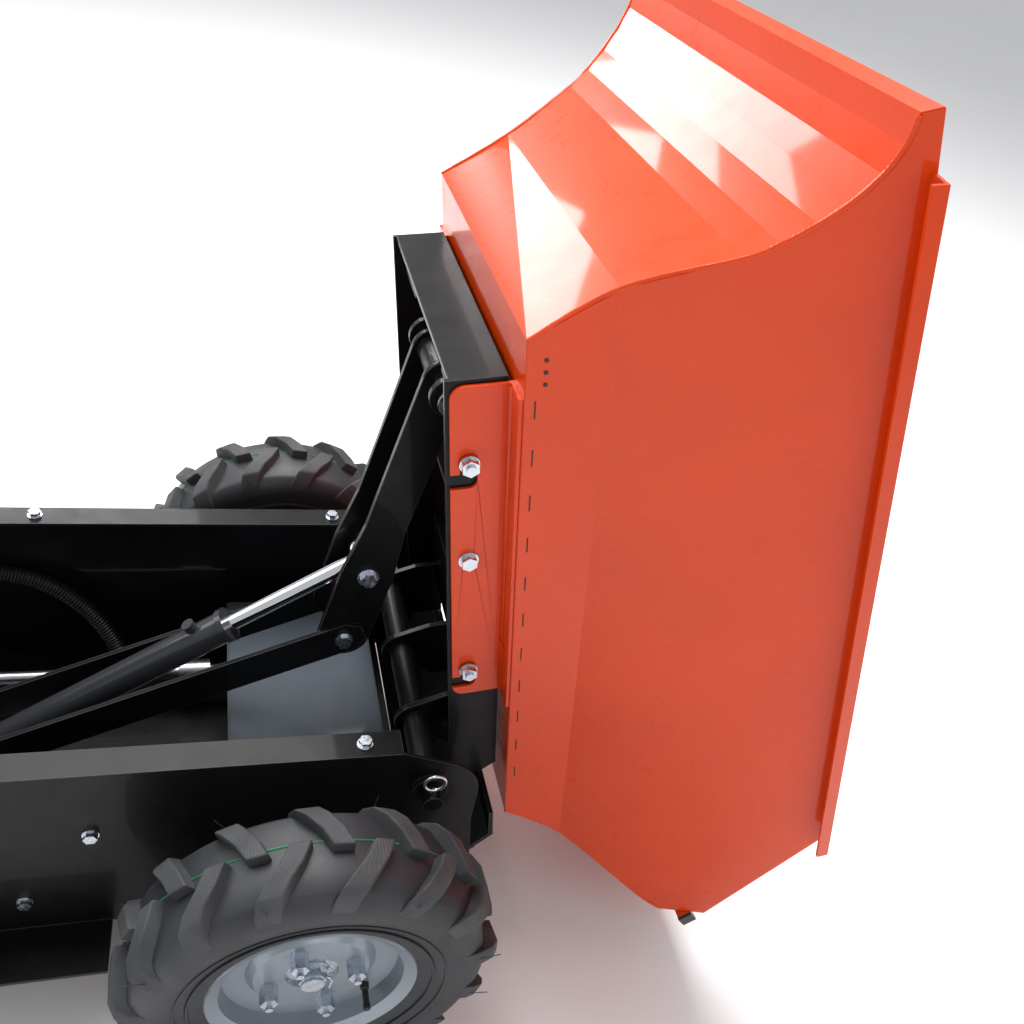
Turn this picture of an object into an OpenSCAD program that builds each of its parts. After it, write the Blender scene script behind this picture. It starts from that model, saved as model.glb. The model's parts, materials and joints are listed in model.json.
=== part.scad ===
/* [Chassis] */
// Outside width of the chassis over its side panels
chassis_w = 444; // [400:1:520]
// Thickness of each side panel
panel_t = 4; // [3:0.5:6]
// Width of the folded top flange
flange_w = 35; // [28:1:45]
// Height of the top flange above the ground
flange_z = 383; // [370:1:400]
// Height of the panels' lower edge
panel_bottom_z = 110; // [90:1:125]
// Length of the chassis behind the front axle
chassis_rear = 1010; // [960:5:1100]

/* [Front wheels] */
// Outside radius of the tyre over its lugs
tyre_r = 205; // [190:1:210]
// Width of the tyre
tyre_w = 112; // [95:1:125]
// Distance of each wheel's middle from the machine's middle
wheel_y = 339; // [325:1:370]
// Radius of the wheel rim under the tyre bead
rim_r = 101.6; // [95:0.1:108]
// Radius of the driven axle shaft
axle_r = 12.5; // [10:0.5:15]

/* [Tub] */
// Half width of the flat tub floor
floor_half = 201; // [180:1:220]
// Length of the flat tub floor
floor_len = 669; // [600:1:720]
// Distance of the rear edge of the floor behind the pivot
tub_back = 559; // [540:1:570]
// Height of the floor above the pivot when the tub is down
tub_up = 98; // [96:1:110]
// Outward slope of the upper sides, as width over height
flare = 0.5; // [0.35:0.01:0.6]
// Sheet thickness of the tub
tub_t = 3; // [2:0.5:4]
// Width of the folded rim along the sides
rim_w = 22; // [16:1:26]
// Tilt of the tub in the dumped rest pose, in degrees
tilt = 80.65; // [80.65:0.01:80.65]

/* [Tilt linkage] */
// Radius of the pivot shaft
pivot_r = 12; // [10:0.5:14]
// Half distance between the two lever plates' middles
lever_y = 35; // [32:0.5:38]
// Thickness of a lever plate
lever_t = 8; // [6:0.5:9]
// Thickness of a lift arm
arm_t = 6; // [5:0.5:8]
// Height of a lift arm's bar
arm_h = 44; // [36:1:48]
// Radius of the hydraulic barrel
barrel_r = 20; // [18:0.5:22]
// Radius of the chrome rod
rod_r = 10; // [8:0.5:12]

/* [Rear casters] */
// Radius of a caster tyre
caster_r = 100; // [85:1:105]
// Distance of each caster's swivel from the machine's middle
caster_y = 168; // [160:1:175]
// Trail of the caster axle behind its swivel
caster_trail = 42; // [30:1:50]

/* [Handlebars] */
// Height of the grips above the ground
grip_z = 985; // [900:5:1050]
// Radius of the handlebar tube
bar_r = 15; // [12:0.5:17]
// Distance of each grip from the machine's middle
bar_y = 238; // [238:1:250]

/* [Hidden] */
run = 0.05;              // radial running clearance of every turning fit
gap = 0.3;               // clearance between faces of different bodies
half = chassis_w/2;      // outer face of a side panel
inner = half - panel_t;  // inner face of a side panel
pivot_x = 137;
pivot_z = 321;
axle_z = tyre_r;

// ---------- general helpers ----------
// A plate in the X-Z plane, centred on y, from a flat outline drawn in (x, z).
module plate_y(y, t) { translate([0, y, 0]) rotate([90, 0, 0]) linear_extrude(t, center = true) children(); }
// A round bar along Y between y0 and y1.
module rod_y(r, y0, y1, x = 0, z = 0) {
    translate([x, min(y0, y1), z]) rotate([-90, 0, 0]) cylinder(r = r, h = abs(y1 - y0), $fn = 48);
}
// A round bar along X between x0 and x1.
module rod_x(r, x0, x1, y = 0, z = 0) {
    translate([min(x0, x1), y, z]) rotate([0, 90, 0]) cylinder(r = r, h = abs(x1 - x0), $fn = 48);
}
module rod_z(r, z0, z1, x = 0, y = 0) { translate([x, y, z0]) cylinder(r = r, h = z1 - z0, $fn = 48); }
// A flanged hex bolt head and shank end along +Z, standing on z = 0.
module bolt_head(af = 13, h = 6, washer_r = 9) {
    cylinder(r = washer_r, h = 1.6, $fn = 32);
    translate([0, 0, 1.6]) cylinder(d = af/cos(30), h = h, $fn = 6);
}
// A bar whose two ends are the flat four-cornered loops a and b.
module four_sided(a, b) {
    polyhedron(concat(a, b),
        [[3, 2, 1, 0], [4, 5, 6, 7], [0, 1, 5, 4], [1, 2, 6, 5], [2, 3, 7, 6], [3, 0, 4, 7]]);
}
// Points on an arc about c from angle a0 to a1.
function arc(c, r, a0, a1, n = 8) = [for (i = [0:n]) c + r*[cos(a0 + (a1 - a0)*i/n), sin(a0 + (a1 - a0)*i/n)]];
function unit(v) = v/norm(v);
function left_of(v) = [-v[1], v[0]];
// The path moved sideways by t, with mitred corners.
function shifted(p, t) = [for (i = [0:len(p) - 1]) let (
    a = i == 0 ? unit(p[1] - p[0]) : unit(p[i] - p[i - 1]),
    b = i == len(p) - 1 ? a : unit(p[i + 1] - p[i]),
    m = unit(left_of(a) + left_of(b))) p[i] + m*t/(m*left_of(a))];
function reversed(p) = [for (i = [len(p) - 1:-1:0]) p[i]];
// A hose or cable: one closed skin swept along the route's points.
function smooth(p, n) = [for (i = [0:len(p) - 2]) for (k = [0:n - 1]) let (
    t = k/n, a = p[max(i - 1, 0)], b = p[i], c = p[i + 1], d = p[min(i + 2, len(p) - 1)])
    0.5*(2*b + (c - a)*t + (2*a - 5*b + 4*c - d)*t*t + (3*b - a - 3*c + d)*t*t*t)];
function route(p, n) = concat(smooth(p, n), [p[len(p) - 1]]);
module hose(points, r, steps = 4, sides = 8) {
    p = route(points, steps);
    n = len(p);
    ring = [for (i = [0:n - 1]) let (
        t = unit(p[min(i + 1, n - 1)] - p[max(i - 1, 0)]),
        s = unit(cross(t, [0.13, 0.31, 0.94])),
        w = cross(s, t)) for (k = [0:sides - 1]) p[i] + r*(s*cos(360*k/sides) + w*sin(360*k/sides))];
    ends = [[for (k = [0:sides - 1]) k], [for (k = [sides - 1:-1:0]) (n - 1)*sides + k]];
    skin = [for (i = [0:n - 2]) for (k = [0:sides - 1]) let (a = i*sides + k, b = i*sides + (k + 1)%sides)
        [a, a + sides, b + sides, b]];
    polyhedron(ring, concat(ends, skin));
}

// ---------- chassis ----------
ear_r = 62;
low_rear_x = -600;       // the low part of the panels ends here
rear_low_z = 272;        // lower edge of the rear frame over the casters
module panel_outline() {
    polygon(concat([[-chassis_rear, flange_z], [-chassis_rear, rear_low_z], [low_rear_x, rear_low_z],
        [low_rear_x + 60, panel_bottom_z], [185, panel_bottom_z], [212, 160], [pivot_x + ear_r, 250]],
        arc([pivot_x, pivot_z - 20], ear_r, 0, 75), [[100, flange_z]]));
}
bearing_r = 44;
wing_w = 64;             // width of the guard wing
module side_panel(side) {
    color([0.05, 0.05, 0.06]) {
        difference() {
            plate_y(side*(half - panel_t/2), panel_t) panel_outline();
            rod_y(pivot_r + run, side*(inner - 1), side*(half + 1), pivot_x, pivot_z);
            rod_y(axle_r + 6, side*(inner - 1), side*(half + 1), 0, axle_z);
        }
        translate([-chassis_rear, side > 0 ? half - flange_w : -half, flange_z - panel_t])
            cube([chassis_rear + 100, flange_w, panel_t]);
        // guard wing along the foot of the panel, behind the wheel
        translate([low_rear_x + 60, side > 0 ? half - 1 : -half - wing_w, panel_bottom_z])
            cube([-low_rear_x - 60 - tyre_r - 10, wing_w + 1, panel_t]);
        // pivot bush and axle bearing housing
        difference() {
            rod_y(pivot_r + 9, side*half, side*(half + 7), pivot_x, pivot_z);
            rod_y(pivot_r + run, side*(half - 1), side*(half + 8), pivot_x, pivot_z);
        }
        difference() {
            union() {
                rod_y(bearing_r, side*half, side*(half + 8), 0, axle_z);
                rod_y(bearing_r - 16, side*(half + 8), side*(half + 18), 0, axle_z);
            }
            rod_y(axle_r + run, side*(half - 1), side*(half + 19), 0, axle_z);
        }
    }
}
module cross_plates() {
    color([0.05, 0.05, 0.06]) {
        // sloping front guard with returned lower lip
        plate_span([[150, 118], [154, 114], [236, 206], [228, 252], [223, 250], [230, 207]]);
        difference() {
            translate([low_rear_x + 60, -inner, panel_bottom_z]) cube([-low_rear_x + 90, 2*inner, panel_t]);
            translate([arm_pin[0] - 50, -bracket_y + 3, panel_bottom_z - 1])
                cube([180, 2*bracket_y - 6, panel_t + 2]);
        }
        rod_y(14, -inner, inner, low_rear_x, 358);
    }
}
module plate_span(outline) { plate_y(0, 2*inner) polygon(outline); }
deck_z = 300;
deck_front = -618;
module engine_deck() {
    color([0.06, 0.06, 0.07]) difference() {
        translate([-chassis_rear, -inner, deck_z - 5]) cube([chassis_rear + deck_front, 2*inner, 5]);
        for (x = [-930, -730], y = [-70, 70]) rod_z(5, deck_z - 6, deck_z + 1, x, y);
        translate([deck_front - 262, belt_y - 14, deck_z - 6]) cube([263, 34, 7]);
    }
}
arm_pin = [-470, 155];
barrel_pin = [-450, 120];
bracket_y = lever_y + lever_t/2 + arm_t + 14;
module link_bracket() {
    floor_z = panel_bottom_z + panel_t;
    color([0.05, 0.05, 0.06]) for (side = [-1, 1]) difference() {
        plate_y(side*bracket_y, 6) polygon([[-530, floor_z], [-400, floor_z], [-420, 190], [-510, 200]]);
        rod_y(13, side*(bracket_y - 4), side*(bracket_y + 4), arm_pin[0], arm_pin[1]);
    }
}
module chassis_bolts() {
    bolt_y = half - flange_w/2;
    color([0.75, 0.76, 0.78]) for (side = [-1, 1]) {
        for (x = [58, -329, -700, -950]) translate([x, side*bolt_y, flange_z]) bolt_head();
        for (p = [[-228, 284], [-303, 169], [-660, 330], [-860, 330]])
            translate([p[0], side*half, p[1]]) rotate([-90*side, 0, 0]) bolt_head();
        for (a = [45, 225]) translate([34*cos(a), side*(half + 8), axle_z + 34*sin(a)])
            rotate([-90*side, 0, 0]) bolt_head(8, 4, 5.5);
    }
}

// ---------- drive line ----------
case_x0 = -82;
case_x1 = 112;
case_top = 232;
shaft_y = 110;
shaft_z = 176;
module gear_case() {
    case_y = inner - 26;
    color([0.32, 0.36, 0.40]) {
        difference() {
            translate([case_x0, -case_y, 134]) cube([case_x1 - case_x0, 2*case_y, case_top - 134]);
            rod_y(axle_r + run, -case_y - 1, case_y + 1, 0, axle_z);
            rod_x(9 + run, case_x0 - 1, case_x0 + 30, shaft_y, shaft_z);
        }
        // hose spigot and seam flange
        rod_x(12, case_x0 - 34, case_x0, -95, 196);
        translate([case_x0 - 3, -case_y - 3, case_top - 8]) difference() {
            cube([case_x1 - case_x0 + 6, 2*case_y + 6, 4]);
            translate([3, 3, -1]) cube([case_x1 - case_x0, 2*case_y, 6]);
        }
        for (side = [-1, 1]) difference() {
            rod_y(32, side*case_y, side*(case_y + 12), 0, axle_z);
            rod_y(axle_r + run, side*(case_y - 1), side*(case_y + 13), 0, axle_z);
        }
        // feet down to the belly plate
        for (x = [case_x0 + 12, case_x1 - 32], y = [-120, 100])
            translate([x, y, panel_bottom_z + panel_t]) cube([20, 20, 134 - panel_bottom_z - panel_t]);
    }
}
trans_x = -575;
gear_x = trans_x + 32;
gear_z = 205;
trans_y = 70;
belt_y = half - flange_w - 17; // middle of the belt run, inside the flange
trans_w = belt_y - 92;
module transmission() {
    low = panel_bottom_z + panel_t;
    color([0.30, 0.33, 0.36]) difference() {
        union() {
            translate([trans_x, trans_y, 128]) cube([64, trans_w, 110]);
            rod_x(26, trans_x + 64, trans_x + 76, shaft_y, shaft_z);
            rod_y(22, trans_y + trans_w, belt_y - 12, gear_x, gear_z);
            translate([trans_x + 6, trans_y + 5, 238]) cube([50, 50, 12]);
            for (y = [trans_y, trans_y + trans_w - 20]) translate([trans_x + 36, y, low])
                cube([28, 20, 128 - low]);
        }
        rod_x(9 + run, trans_x + 30, trans_x + 77, shaft_y, shaft_z);
        rod_y(8 + run, trans_y + trans_w - 30, belt_y - 11, gear_x, gear_z);
    }
}
module prop_shaft() {
    color([0.55, 0.56, 0.58]) {
        rod_x(9, trans_x + 32, case_x0 + 28, shaft_y, shaft_z);
        rod_x(17, trans_x + 84, trans_x + 120, shaft_y, shaft_z);
        rod_x(17, -150, -108, shaft_y, shaft_z);
    }
}

// ---------- pivot shaft ----------
module pivot_shaft() {
    color([0.12, 0.12, 0.13]) difference() {
        rod_y(pivot_r, -half - 26, half + 26, pivot_x, pivot_z);
        for (side = [-1, 1]) rod_z(3, pivot_z - 20, pivot_z + 20, pivot_x, side*(half + 17));
    }
}
module lynch_pins() {
    color([0.7, 0.7, 0.72]) for (side = [-1, 1]) {
        rod_z(2.9, pivot_z - 18, pivot_z + 17, pivot_x, side*(half + 17));
        translate([pivot_x, side*(half + 17), pivot_z + 28]) rotate([90, 0, 0])
            rotate_extrude($fn = 40) translate([12, 0]) circle(r = 2, $fn = 16);
    }
}

// ---------- engine ----------
crank_x = -822;
crank_z = 412;
engine_y = 130;          // outer face of the crankcase
module engine_block() {
    color([0.16, 0.16, 0.17]) {
        difference() {
            union() {
                rod_y(86, -engine_y + 20, 92, crank_x, crank_z);
                translate([crank_x - 92, -engine_y + 28, deck_z]) cube([184, 200, 66]);
                translate([crank_x - 60, -50, crank_z]) cube([120, 116, 100]);
                rod_y(30, 92, 104, crank_x, crank_z);
            }
            rod_y(12 + run, 60, 106, crank_x, crank_z);
        }
        translate([crank_x - 110, -80, deck_z]) cube([220, 160, 10]);
        rod_z(11, deck_z + 60, deck_z + 92, crank_x - 78, -84);
        rod_z(15, deck_z + 92, deck_z + 102, crank_x - 78, -84);
    }
}
module cylinder_head() {
    color([0.55, 0.56, 0.57]) {
        for (k = [0:5]) translate([crank_x - 72, -56, crank_z + 101 + 12*k]) cube([144, 128, 5]);
        translate([crank_x - 50, -36, crank_z + 100]) cube([100, 90, 70]);
        translate([crank_x - 58, -46, crank_z + 166]) cube([116, 108, 34]);
    }
}
pull_z = crank_z + 72;
pull_y = -engine_y - 26;
module fan_housing() {
    color([0.1, 0.1, 0.11]) difference() {
        union() {
            rod_y(122, -engine_y + 19.7, -engine_y - 28, crank_x, crank_z + 14);
            rod_y(96, -engine_y - 28, -engine_y - 52, crank_x, crank_z + 14);
        }
        for (a = [0:30:330]) rotate_about(a) translate([crank_x + 56, 0, crank_z + 10])
            translate([0, -engine_y - 60, 0]) cube([30, 28, 8]);
        rod_x(2.8, crank_x - 130, crank_x + 88, pull_y, pull_z);
    }
}
module rotate_about(a) {
    translate([crank_x, 0, crank_z + 14]) rotate([0, a, 0]) translate([-crank_x, 0, -crank_z - 14]) children();
}
module recoil_handle() {
    color([0.08, 0.08, 0.08]) {
        rod_x(2.5, crank_x - 120, crank_x + 84, pull_y, pull_z);
        difference() {
            translate([crank_x - 132, pull_y - 38, pull_z - 9]) cube([16, 76, 18]);
            for (s = [-1, 1]) translate([crank_x - 136, pull_y + s*38 - 6, pull_z - 20])
                rotate([45, 0, 0]) cube([30, 12, 12]);
        }
    }
}
tank_z = crank_z + 216;
module fuel_tank() {
    color([0.08, 0.08, 0.09]) {
        translate([crank_x, 0, tank_z]) difference() {
            union() {
                linear_extrude(68) offset(r = 34, $fn = 40) square([130, 190], center = true);
                translate([0, 0, 68]) linear_extrude(14)
                    offset(r = 22, $fn = 40) square([122, 182], center = true);
                translate([-20, 0, 82]) cylinder(r = 27, h = 10, $fn = 48);
            }
            translate([-20, 0, 60]) cylinder(r = 20, h = 40, $fn = 48);
        }
        for (x = [-52, 44]) translate([crank_x + x, -30, crank_z + 200]) cube([8, 60, 16]);
    }
}
module fuel_cap() {
    color([0.12, 0.12, 0.13]) translate([crank_x - 20, 0, 0]) {
        rod_z(20 - run, tank_z + 74, tank_z + 92 + gap);
        difference() {
            rod_z(31, tank_z + 92 + gap, tank_z + 112);
            for (a = [0:30:330]) rotate(a) rod_z(3, tank_z + 92, tank_z + 113, 32, 0);
        }
    }
}
module muffler() {
    color([0.35, 0.35, 0.36]) {
        translate([crank_x - 45, 84, crank_z + 112]) cube([96, 68, 88]);
        rod_y(11, 72, 84, crank_x, crank_z + 140);
        rod_z(10, crank_z + 200, crank_z + 212, crank_x + 36, 120);
        // pierced guard
        difference() {
            translate([crank_x - 54, 156, crank_z + 102]) cube([114, 3, 106]);
            for (x = [-42:16:48], z = [114:14:196])
                rod_y(4, 155, 160, crank_x + x, crank_z + z);
        }
        for (z = [118, 190]) translate([crank_x - 4, 152, crank_z + z]) cube([10, 4, 6]);
    }
}
module air_cleaner() {
    color([0.09, 0.09, 0.1]) {
        translate([crank_x - 60, -128, crank_z + 142]) cube([120, 68, 60]);
        translate([crank_x - 52, -120, crank_z + 202]) cube([104, 52, 8]);
        rod_y(13, -60, -46, crank_x, crank_z + 180);
    }
}
pulley_y = 121;
module pulley(x, z, r, y0, y1) {
    rod_y(r, pulley_y - 9, pulley_y - 6, x, z);
    rod_y(r - 9, pulley_y - 6, pulley_y + 6, x, z);
    rod_y(r, pulley_y + 6, pulley_y + 9, x, z);
    rod_y(r > 40 ? 8 : 12, y0, y1, x, z);
}
engine_pulley_r = 38;
gear_pulley_r = 60;
module engine_pulley() {
    color([0.6, 0.6, 0.62]) translate([0, belt_y - pulley_y, 0])
        pulley(crank_x, crank_z, engine_pulley_r, pulley_y - 108, pulley_y + 12);
}
module gearbox_pulley() {
    color([0.6, 0.6, 0.62]) translate([0, belt_y - pulley_y, 0])
        pulley(gear_x, gear_z, gear_pulley_r, pulley_y - 40, pulley_y + 12);
}
belt_axis = [crank_x - gear_x, crank_z - gear_z];
belt_angle = acos((gear_pulley_r - engine_pulley_r)/norm(belt_axis));
belt_dir = atan2(belt_axis[1], belt_axis[0]);
function belt_loop(extra) = concat(
    arc([gear_x, gear_z], gear_pulley_r - 9 + extra, belt_dir + belt_angle, belt_dir + 360 - belt_angle, 20),
    arc([crank_x, crank_z], engine_pulley_r - 9 + extra, belt_dir - belt_angle, belt_dir + belt_angle, 16));
module drive_belt() {
    color([0.04, 0.04, 0.04]) plate_y(belt_y, 9) difference() {
        polygon(belt_loop(7.5));
        polygon(belt_loop(0.4));
    }
}
module belt_guard() {
    guard_y = belt_y + 13;
    color([0.07, 0.07, 0.08]) difference() {
        plate_y(guard_y, 2) polygon(belt_loop(30));
        for (k = [0:4]) translate([-800 + 36*k, guard_y - 3, 372 - 28*k]) cube([12, 6, 26]);
    }
    color([0.07, 0.07, 0.08]) for (p = [[-700, 360], [-575, 244]])
        rod_y(5, guard_y + 1, inner, p[0], p[1]);
}

// ---------- hydraulics and cables ----------
pump_x = -676;
module hydraulic_pump() {
    color([0.5, 0.52, 0.54]) {
        translate([pump_x - 34, -96, deck_z]) cube([60, 72, 78]);
        rod_x(17, pump_x + 26, pump_x + 40, -60, deck_z + 18);
        rod_x(12, pump_x + 40, pump_x + 58, -60, deck_z + 18);
    }
}
module suction_hose() {
    color([0.05, 0.05, 0.05]) hose([[case_x0 - 34, -95, 196], [-140, -95, 196], [-220, -112, 190],
        [-320, -130, 190], [-430, -130, 200], [-510, -112, 262], [-556, -76, 304], [-590, -60, 318],
        [pump_x + 58, -60, 318]], 15);
}
module cable_conduit() {
    color([0.04, 0.04, 0.04]) {
        hose([[-226, 150, 126], [-240, 172, 176], [-280, 192, 230], [-340, 205, 270], [-420, 205, 290],
            [-520, 205, 308], [-600, 205, 318], [-760, 205, 318], [-985, 205, 318]], 12);
    }
}

// ---------- handlebars and controls ----------
bar_foot_x = -960;
bar_knee = [-1120, 880];
grip_end_x = -1340;
module handlebar(side) {
    y = side*bar_y;
    up = bar_knee - [bar_foot_x, 292];
    back = [grip_end_x, grip_z] - bar_knee;
    color([0.05, 0.05, 0.06]) {
        tube_between([bar_foot_x, y, 292], [bar_knee[0], y, bar_knee[1]]);
        translate([bar_knee[0], y, bar_knee[1]]) sphere(r = bar_r, $fn = 40);
        tube_between([bar_knee[0], y, bar_knee[1]], [grip_end_x, y, grip_z]);
    }
    color([0.75, 0.76, 0.78]) for (k = [0.05, 0.13]) let (p = [bar_foot_x, 292] + up*k)
        rod_y(5, side*half, side*(bar_y + bar_r + 4), p[0], p[1]);
}
module tube_between(a, b) {
    d = b - a;
    translate(a) rotate([0, atan2(norm([d[0], d[1]]), d[2]), atan2(d[1], d[0])])
        cylinder(r = bar_r, h = norm(d), $fn = 40);
}
bridge_y = bar_y - bar_r;
module bar_bridge() {
    color([0.05, 0.05, 0.06]) {
        rod_y(12, -bridge_y, bridge_y, bar_knee[0] + 48, 710);
        rod_y(12, -bridge_y, bridge_y, bar_knee[0], bar_knee[1]);
        difference() {
            translate([bar_knee[0] - 12, -bridge_y + 20, bar_knee[1] + 12]) rotate([0, -16, 0])
                translate([-86, 0, 0]) cube([110, 2*bridge_y - 40, 4]);
            for (y = [-110, 110]) translate([stick_hinge[0] - 25, y - 6, bar_knee[1] - 20]) cube([50, 12, 60]);
        }
        // lever lugs under the console and on the two tubes
        for (y = [-110, 110]) difference() {
            for (s = [-1, 1]) translate([stick_hinge[0] - 10, y + s*7 - 1.5, bar_knee[1] - 22])
                cube([bar_knee[0] - stick_hinge[0] + 10, 3, 30]);
            rod_y(4 + run, y - 12, y + 12, stick_hinge[0], stick_hinge[1]);
        }
    }
}
grip_dir = unit([grip_end_x, grip_z] - bar_knee);
module along_bar(y, back) {
    p = [grip_end_x, grip_z] - back*grip_dir;
    translate([p[0], y, p[1]]) rotate([0, atan2(grip_dir[0], grip_dir[1]), 0]) children();
}
module hand_grips() {
    color([0.04, 0.04, 0.04]) for (side = [-1, 1]) along_bar(side*bar_y, 115) difference() {
        union() {
            cylinder(r = bar_r + 4, h = 122, $fn = 40);
            cylinder(r = bar_r + 9, h = 5, $fn = 40);
            for (k = [1:7]) translate([0, 0, 14*k]) cylinder(r = bar_r + 5.2, h = 6, $fn = 40);
        }
        translate([0, 0, -1]) cylinder(r = bar_r, h = 116, $fn = 40);
    }
}
// A hand lever under a grip, with its clamp clevis; the hinge lies at lever_back before the grip end.
lever_back = 150;
hinge_drop = 34;
lever_lift = 14;         // angle of a released hand lever from its grip
module hand_lever(side) {
    color([0.10, 0.10, 0.11]) along_bar(side*bar_y, lever_back) translate([hinge_drop, 0, 0])
        rotate([0, lever_lift, 0]) difference() {
            union() {
                rotate([90, 0, 0]) cylinder(r = 8, h = 8, center = true, $fn = 40);
                translate([-2, -4, 0]) cube([8, 8, 118]);
                translate([-1, -3.6, 114]) rotate([0, 14, 0]) cube([7, 7.2, 28]);
            }
            rotate([90, 0, 0]) cylinder(r = 4 + run, h = 20, center = true, $fn = 40);
        }
}
module lever_clamp(side) {
    along_bar(side*bar_y, lever_back) {
        difference() {
            translate([0, 0, -12]) cylinder(r = bar_r + 4, h = 24, $fn = 40);
            translate([0, 0, -13]) cylinder(r = bar_r, h = 26, $fn = 40);
        }
        for (s = [-1, 1]) translate([bar_r + 2, s*6.3 - 1.5, -9]) cube([hinge_drop - bar_r + 6, 3, 18]);
        translate([hinge_drop, 0, 0]) rotate([90, 0, 0]) cylinder(r = 4, h = 19, center = true, $fn = 40);
    }
}
module drive_lever() { hand_lever(1); }
module brake_lever() { hand_lever(-1); }
stick_hinge = [bar_knee[0] - 34, bar_knee[1] - 10];
module stick(y, high, knob_r) {
    color([0.12, 0.12, 0.13]) {
        difference() {
            rod_y(9, y - 4, y + 4, stick_hinge[0], stick_hinge[1]);
            rod_y(4 + run, y - 5, y + 5, stick_hinge[0], stick_hinge[1]);
        }
        translate([stick_hinge[0], y, stick_hinge[1] + 6]) cylinder(r = 4, h = high, $fn = 32);
        translate([stick_hinge[0], y, stick_hinge[1] + 6 + high]) sphere(r = knob_r, $fn = 40);
    }
}
module gear_lever() { stick(110, 150, 16); }
module dump_lever() { stick(-110, 150, 16); }
module valve_block() {
    color([0.45, 0.47, 0.5]) {
        for (y = [-110, 110]) rod_y(4, y - 10, y + 12, stick_hinge[0], stick_hinge[1]);
        difference() {
            translate([bar_knee[0] - 28, -150, bar_knee[1] - 74]) cube([56, 90, 50]);
            rod_z(7, bar_knee[1] - 40, bar_knee[1] - 20, bar_knee[0], -80);
        }
        translate([bar_knee[0] - 20, -100, bar_knee[1] - 24]) cube([40, 30, 12]);
    }
    color([0.1, 0.1, 0.11]) for (side = [-1, 1]) lever_clamp(side);
    color([0.1, 0.1, 0.11]) along_bar(bar_y, throttle_back) {
        difference() {
            translate([0, 0, -10]) cylinder(r = bar_r + 3, h = 20, $fn = 40);
            translate([0, 0, -11]) cylinder(r = bar_r, h = 22, $fn = 40);
        }
        translate([0, -bar_r - 12, 0]) rotate([-90, 0, 0]) cylinder(r = 4, h = 10, $fn = 40);
    }
}
throttle_back = 200;
module throttle_lever() {
    color([0.12, 0.12, 0.13]) along_bar(bar_y, throttle_back) translate([0, -bar_r - 11, 0]) {
        difference() {
            union() {
                rotate([-90, 0, 0]) cylinder(r = 9, h = 6, $fn = 40);
                translate([4, 0.5, -4]) cube([44, 5, 8]);
            }
            translate([0, -1, 0]) rotate([-90, 0, 0]) cylinder(r = 4 + run, h = 9, $fn = 40);
        }
    }
}

// ---------- rear casters ----------
swivel_x = -880;
fork_top = rear_low_z - 22;
module caster_plates() {
    color([0.06, 0.06, 0.07]) {
        translate([swivel_x - 62, -inner, rear_low_z]) cube([124, 2*inner, 6]);
        for (side = [-1, 1]) {
            rod_z(8, fork_top - 26, rear_low_z, swivel_x, side*caster_y);
            rod_z(30, rear_low_z - 8, rear_low_z, swivel_x, side*caster_y);
        }
    }
}
module caster_fork(side) {
    wheel_x = swivel_x - caster_trail;
    color([0.6, 0.61, 0.63]) translate([0, side*caster_y, 0]) {
        difference() {
            union() {
                rod_z(24, fork_top - 26, fork_top + 13.7, swivel_x, 0);
                translate([wheel_x - 26, -32, fork_top - 32]) cube([caster_trail + 50, 64, 6]);
            }
            rod_z(8 + run, fork_top - 40, fork_top + 30, swivel_x, 0);
        }
        for (s = [-1, 1]) plate_y(s*29.5, 5) polygon([[wheel_x - 26, fork_top - 26],
            [swivel_x + 24, fork_top - 26], [wheel_x + 16, caster_r - 8], [wheel_x, caster_r - 14],
            [wheel_x - 16, caster_r - 8]]);
        rod_y(6, -36, 36, wheel_x, caster_r);
        for (s = [-1, 1]) rod_y(10, s*32, s*38, wheel_x, caster_r);
    }
}
module caster_wheel(side) {
    translate([swivel_x - caster_trail, side*caster_y, caster_r]) rotate([-90, 0, 0]) {
        color([0.05, 0.05, 0.06]) rotate_extrude($fn = 72) polygon(concat([[66, -20]],
            arc([caster_r - 14, -8], 14, -80, 0, 5), arc([caster_r - 14, 8], 14, 0, 80, 5), [[66, 20]]));
        color([0.5, 0.51, 0.53]) rotate_extrude($fn = 72)
            polygon([[6 + run, -25], [16, -25], [18, -8], [58, -6], [60, -17], [66, -20], [66, 20],
                [60, 17], [58, 6], [18, 8], [16, 25], [6 + run, 25]]);
    }
}

// ---------- front wheels ----------
module front_tyre(side) {
    h = tyre_w/2;
    color([0.05, 0.05, 0.06]) translate([0, side*wheel_y, axle_z]) rotate([-90, 0, 0])
        rotate_extrude($fn = 96) polygon(concat([[rim_r, -h + 16], [rim_r + 10.5, -h + 11]],
            arc([tyre_r - 44, -h + 26], 26, -120, -40, 6), [[tyre_r - 8, -h + 16], [tyre_r, -h + 34],
            [tyre_r, h - 34], [tyre_r - 8, h - 16]], arc([tyre_r - 44, h - 26], 26, 40, 120, 6),
            [[rim_r + 10.5, h - 11], [rim_r, h - 16]]));
}
hub_hole = 29;
stud_circle = 48;
module front_rim(side) {
    h = tyre_w/2;
    color([0.5, 0.53, 0.56]) translate([0, side*wheel_y, axle_z]) rotate([side < 0 ? 90 : -90, 0, 0]) {
        union() {
            rotate_extrude($fn = 96) polygon([[rim_r - 3, -h + 16], [rim_r + 9, -h + 8.5],
                [rim_r + 10.4, -h + 10.5], [rim_r, -h + 16], [rim_r, h - 16],
                [rim_r + 10.4, h - 10.5], [rim_r + 9, h - 8.5],
                [rim_r - 4, h - 16], [rim_r - 8, h - 34], [70, h - 38], [62, h - 30], [hub_hole, h - 30],
                [hub_hole, h - 34], [60, h - 34], [68, h - 42], [rim_r - 4, h - 40], [rim_r - 4, -h + 16]]);
        }
    }
}
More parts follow.
